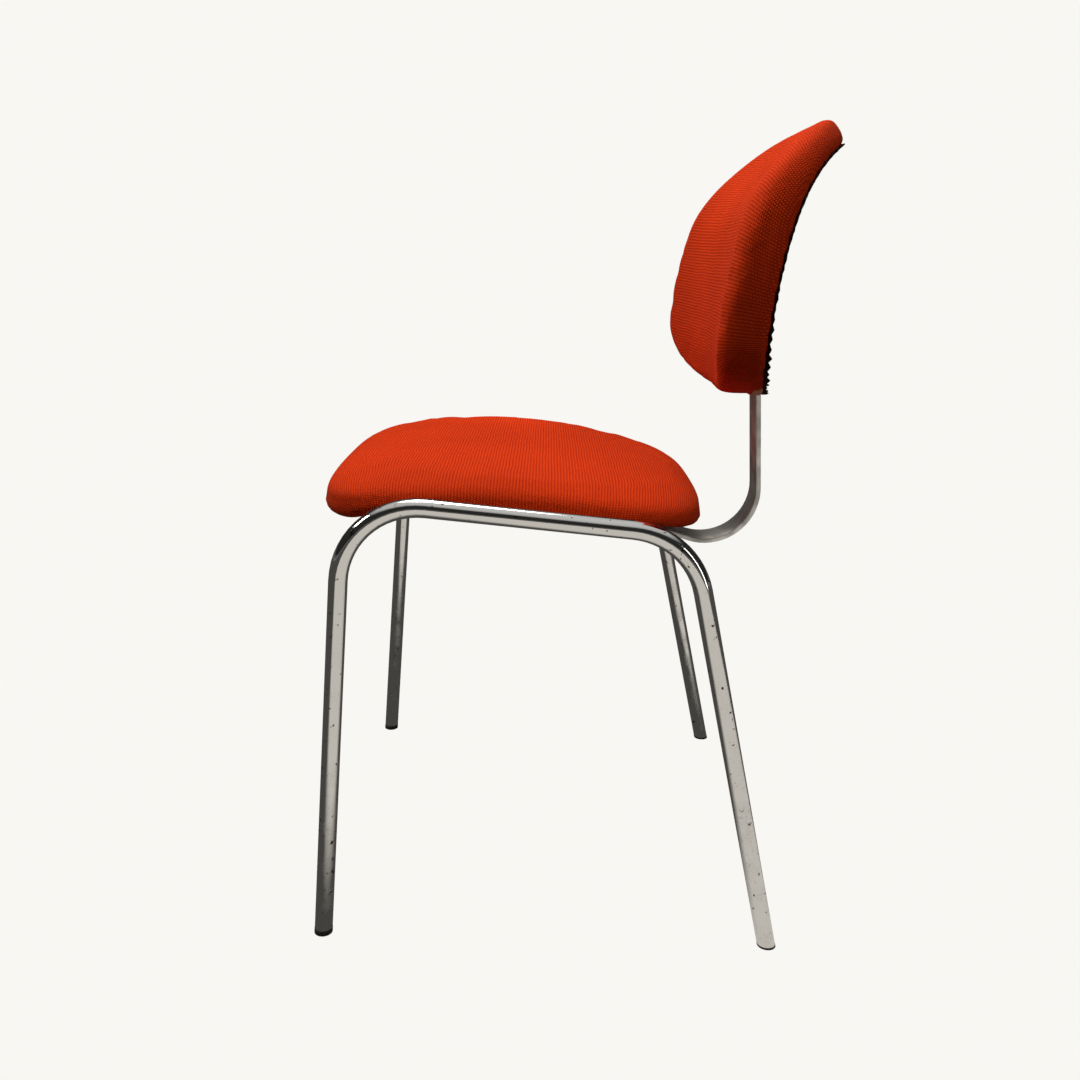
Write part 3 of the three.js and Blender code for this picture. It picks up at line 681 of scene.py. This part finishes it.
def swell(block, held, cap):
    """Lets the cover rise over its foam as cloth under pressure, held where it is fastened, up to a cap."""
    shrink = block.modifiers.new("shrink", "DISPLACE")
    shrink.strength = -0.6 * cap
    shrink.mid_level = 0
    finish_modifiers(block)
    start = coordinates(block)
    group = block.vertex_groups.new(name="held")
    group.add([int(i) for i in np.nonzero(held(block))[0]], 1.0, "REPLACE")
    cloth = block.modifiers.new("cover", "CLOTH")
    cloth.settings.quality = 5
    cloth.settings.mass = 0.3
    cloth.settings.tension_stiffness = 12
    cloth.settings.compression_stiffness = 12
    cloth.settings.use_pressure = True
    cloth.settings.uniform_pressure_force = 4
    cloth.settings.effector_weights.gravity = 0
    cloth.settings.vertex_group_mass = "held"
    cloth.point_cache.frame_start = 1
    cloth.point_cache.frame_end = 20
    for step in range(1, 21):
        bpy.context.scene.frame_set(step)
    evaluated = block.evaluated_get(bpy.context.evaluated_depsgraph_get())
    risen = np.zeros(len(block.data.vertices) * 3)
    evaluated.data.vertices.foreach_get("co", risen)
    block.modifiers.remove(cloth)
    bpy.context.scene.frame_set(1)
    move = risen.reshape(-1, 3) - start
    reach = np.linalg.norm(move, axis=1)
    scale = np.minimum(1, cap / np.maximum(reach, 1e-9))
    set_coordinates(block, start + move * scale[:, None])


def vertex_normals(piece):
    normals = np.zeros(len(piece.data.vertices) * 3)
    piece.data.vertices.foreach_get("normal", normals)
    return normals.reshape(-1, 3)


def round_off(block):
    """Halves the quads and smooths the cover's small creases."""
    subdivision = block.modifiers.new("round", "SUBSURF")
    subdivision.levels = 1
    subdivision.render_levels = 1
    even = block.modifiers.new("even", "SMOOTH")
    even.iterations = SMOOTHING_PASSES
    finish_modifiers(block)


def open_hem(block, inside):
    """Cuts the cover away inside its hem and gives it the thickness of the knit."""
    pick(block)
    bpy.context.tool_settings.mesh_select_mode = (False, False, True)
    for polygon, gone in zip(block.data.polygons, inside):
        polygon.select = bool(gone)
    bpy.ops.object.mode_set(mode="EDIT")
    bpy.ops.mesh.delete(type="FACE")
    bpy.ops.object.mode_set(mode="OBJECT")
    cloth = block.modifiers.new("cloth", "SOLIDIFY")
    cloth.thickness = KNIT_THICKNESS
    cloth.offset = -1
    finish_modifiers(block)
    pick(block)
    bpy.ops.object.shade_smooth()


def hem_ruffle(felt):
    """The cut felt edge round the rear of the backrest: uneven teeth, longest low down at the sides."""
    shape = back_shape()
    steps = RUFFLE_TEETH * RUFFLE_STEPS_PER_TOOTH
    bpy.ops.mesh.primitive_grid_add(x_subdivisions=steps, y_subdivisions=3, size=1)
    ruffle = added("hem_ruffle")
    flat = coordinates(ruffle)
    turn = (flat[:, 0] + 0.5) * 2 * math.pi
    rise = flat[:, 1] + 0.5
    tooth = np.abs(np.mod(turn / (2 * math.pi) * RUFFLE_TEETH, 1) * 2 - 1)
    uneven = 0.65 + 0.35 * np.sin(turn * 17) * np.sin(turn * 29 + 1)
    low_down = np.clip(0.45 - 1.2 * np.sin(turn), 0, 1) * np.clip(3 * np.abs(np.cos(turn)) - 1, 0, 1)
    teeth = RUFFLE_HEIGHT * (0.1 + 0.9 * low_down) * uneven * (0.25 + 0.75 * tooth)
    rear = BACK_REAR * edge_fall(RUFFLE_SHARE, BACK_REAR_START, BACK_REAR_POWER, BACK_REAR_POWER)
    forward = RUFFLE_DEPTH - rear - (RUFFLE_STAND + teeth) * rise
    reach = shape.reach(turn) * (RUFFLE_SHARE + 0.02 * rise)
    reach = reach + RUFFLE_WAVE * np.sin(turn * RUFFLE_TEETH / 2) * rise
    set_coordinates(ruffle, on_back(reach * np.cos(turn), shape.middle + reach * np.sin(turn), forward))
    pick(ruffle)
    bpy.ops.object.mode_set(mode="EDIT")
    bpy.ops.mesh.select_all(action="SELECT")
    bpy.ops.mesh.remove_doubles(threshold=0.00005)
    bpy.ops.mesh.normals_make_consistent(inside=False)
    bpy.ops.object.mode_set(mode="OBJECT")
    thick = ruffle.modifiers.new("felt", "SOLIDIFY")
    thick.thickness = FELT_THICKNESS
    thick.offset = 0
    finish_modifiers(ruffle)
    smooth(ruffle)
    finished(ruffle, felt, BACK)


def face_data(block):
    """Every face's centre and normal."""
    centres = np.zeros(len(block.data.polygons) * 3)
    normals = np.zeros(len(block.data.polygons) * 3)
    block.data.polygons.foreach_get("center", centres)
    block.data.polygons.foreach_get("normal", normals)
    return centres.reshape(-1, 3), normals.reshape(-1, 3)


def seat_pad(wool):
    shape = seat_shape()
    pad = padded_block("seat_pad", seat_place)
    swell(pad, lambda piece: vertex_normals(piece)[:, 2] < -0.2, SWELL["seat"])
    round_off(pad)
    points = coordinates(pad)
    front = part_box("seat_cover")[0][1]
    rim = smooth_line(SEAT_RIM, RIM_DEGREE)(points[:, 1] - front)
    knit_map(pad, shape, points[:, 1], points[:, 2] - rim, SEAT_WALL)
    centres, normals = face_data(pad)
    open_hem(pad, (shape.share(centres[:, 0], centres[:, 1]) < HEM_SHARE) & (normals[:, 2] < -0.5))
    finished(pad, wool, FRAME)
    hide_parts("seat_cover", "seat_foam")


def back_pad(wool):
    shape = back_shape()
    pad = padded_block("back_pad", back_place)
    swell(pad, lambda piece: vertex_normals(piece)[:, 1] > 0.3, SWELL["back"])
    round_off(pad)
    along, forward = back_along(coordinates(pad))
    knit_map(pad, shape, along, forward, BACK_WALL)
    centres, normals = face_data(pad)
    along = back_along(centres)[0]
    open_hem(pad, (shape.share(centres[:, 0], along) < HEM_SHARE) & (normals[:, 1] > 0.4))
    finished(pad, wool, BACK)
    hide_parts("back_cover", "back_foam")


# ---------------------------------------------------------------- frame pieces
def tubes(chrome):
    for side in SIDES:
        node = f"side_frame_{side}"
        tube = copied(node, f"tube_{side}")
        smooth(tube)
        finished(tube, chrome, FRAME)
        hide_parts(node)


def replacement(node, name, material, body, edge):
    """A hard node's copy with rounded edges, in its place."""
    piece = copied(node, name)
    softened(piece, edge)
    finished(piece, material, body)
    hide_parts(node)


def hard_parts(rubber, steel, zinc):
    for end in ("front", "rear"):
        for place in (f"{end}_{side}" for side in SIDES):
            replacement(f"glide_{place}", f"rubber_glide_{place}", rubber, FRAME,
                        EDGE["glide"])
            replacement(f"seat_screw_{place}", f"hex_screw_{place}", zinc, FRAME,
                        EDGE["screw"])
            replacement(f"bar_bolt_{place}", f"hex_bolt_{place}", zinc, FRAME, EDGE["bolt"])
        replacement(f"crossbar_{end}", f"welded_crossbar_{end}", steel, FRAME, EDGE["crossbar"])
    replacement("bar_riser", "folded_riser", steel, FRAME, EDGE["riser"])
    for level in ("lower", "upper"):
        replacement(f"back_screw_{level}", f"hex_screw_back_{level}", zinc, BACK,
                    EDGE["screw"])


def spring_bar(spring):
    """The flat bar: a copy of its node with rounded edges, in spring steel, in its place."""
    bar = copied("back_bar", "spring_bar")
    softened(bar, EDGE["spring_bar"])
    bar.data.materials.clear()
    bar.data.materials.append(spring)
    settle(bar)
    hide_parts("back_bar")
    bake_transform(bar)


def hard_finishes(ply, zinc, rubber):
    """The materials of the nodes that stay as they are: shells, washers and nuts."""
    for name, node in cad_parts.items():
        node.data.materials.clear()
        if name.endswith("shell"):
            node.data.materials.append(ply)
        elif "washer" in name:
            node.data.materials.append(rubber)
        else:
            node.data.materials.append(zinc)


camera()
studio()
wool = ribbed_wool()
chrome = worn_chrome()
spring = satin_steel("satin_spring_steel", "#cfcdc7", "#99978f", 0.38)
steel = satin_steel("hot_rolled_steel", "#8d8b86", "#5f5d59", 0.45)
zinc = satin_steel("zinc_plated_steel", "#b9b7ad", "#86847a", 0.38)
rubber = moulded_rubber()
ply = beech_plywood()
felt = felt_painted_shadow_black()
hard_finishes(ply, zinc, rubber)
tubes(chrome)
hard_parts(rubber, steel, zinc)
spring_bar(spring)
seat_pad(wool)
back_pad(wool)
hem_ruffle(felt)
